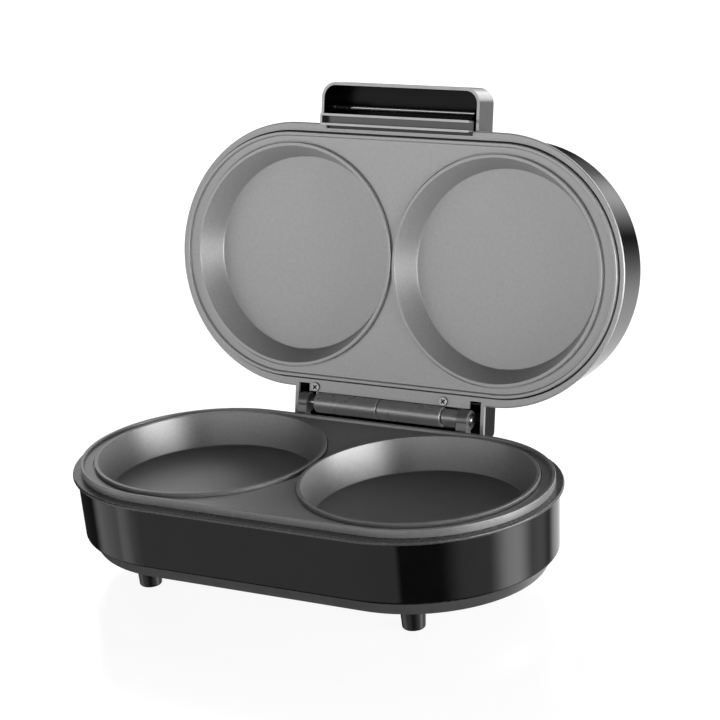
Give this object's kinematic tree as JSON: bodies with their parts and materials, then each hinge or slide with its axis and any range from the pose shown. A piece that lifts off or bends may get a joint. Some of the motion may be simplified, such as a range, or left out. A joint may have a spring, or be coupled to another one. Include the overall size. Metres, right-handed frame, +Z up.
{
  "type": "double round-pan press",
  "caption": "Oblong countertop press with two shallow round non-stick pans in its base and two in its hinged lid, a hollow front handle and a swing-out latch.",
  "frame": {"origin": "on the floor under the middle of the whole object with its lid open", "axes": "+X right along the length, +Y to the rear where the hinge is, +Z up"},
  "size_m": [0.2878, 0.2354, 0.2486],
  "materials": {
    "gloss_black": "high gloss",
    "grey_trim": "satin",
    "handle_grey": "satin",
    "nonstick": "satin non-stick coating",
    "cover_grey": "satin",
    "rubber": "matte",
    "dark_metal": "blackened",
    "hinge_satin": "satin",
    "steel": "plain",
    "screw_steel": "plain",
    "element_sheath": "oxidised",
    "reflector_sheet": "mill",
    "ceramic": "matte",
    "lead_white": "braided",
    "red_lens": "translucent",
    "green_lens": "translucent",
    "lamp_glass": "clear"
  },
  "bodies": {
    "base": {"base_element_clamps": "steel", "base_element_pins": "steel", "base_heating_element": "element_sheath", "base_hinge_bracket": "handle_grey", "base_housing": "gloss_black", "base_leads": "lead_white", "base_plate": "nonstick", "base_plate_screws": "screw_steel", "base_reflector": "reflector_sheet", "base_trim_ring": "grey_trim", "bottom_cover": "cover_grey", "bracket_screws": "screw_steel", "cord_gland": "rubber", "cover_screws": "screw_steel", "foot_front_left": "rubber", "foot_front_right": "rubber", "foot_rear_left": "rubber", "foot_rear_right": "rubber", "hinge_pin": "steel", "hinge_pin_clips": "steel", "hinge_spacer": "hinge_satin", "terminal_block": "ceramic", "thermal_fuse": "ceramic", "thermostat": "ceramic"},
    "lid": {"handle": "handle_grey", "hinge_screws": "dark_metal", "indicator_lamps": "lamp_glass", "knuckle_left": "hinge_satin", "knuckle_right": "hinge_satin", "latch_rod": "steel", "latch_spring": "dark_metal", "lid_element_clamps": "steel", "lid_element_pins": "steel", "lid_heating_element": "element_sheath", "lid_hinge_bracket": "steel", "lid_leads": "lead_white", "lid_plate": "nonstick", "lid_plate_screws": "screw_steel", "lid_reflector": "reflector_sheet", "lid_shell": "gloss_black", "lid_trim_ring": "grey_trim", "power_light_lens": "red_lens", "ready_light_lens": "green_lens"},
    "latch": {"latch": "handle_grey", "latch_arms": "dark_metal"}
  },
  "joints": [
    {"name": "lid_hinge", "type": "hinge", "parent": "base", "child": "lid", "pos_m": [0, 0.0458, 0.0667], "axis": [1, 0, 0], "range_deg": [0, 102.6]},
    {"name": "latch_hinge", "type": "hinge", "parent": "lid", "child": "latch", "pos_m": [0, 0.09251, 0.23302], "axis": [-1, 0, 0], "range_deg": [0, 15], "stiffness_Nm_per_rad": 0.05, "springref_deg": -17.19}
  ]
}
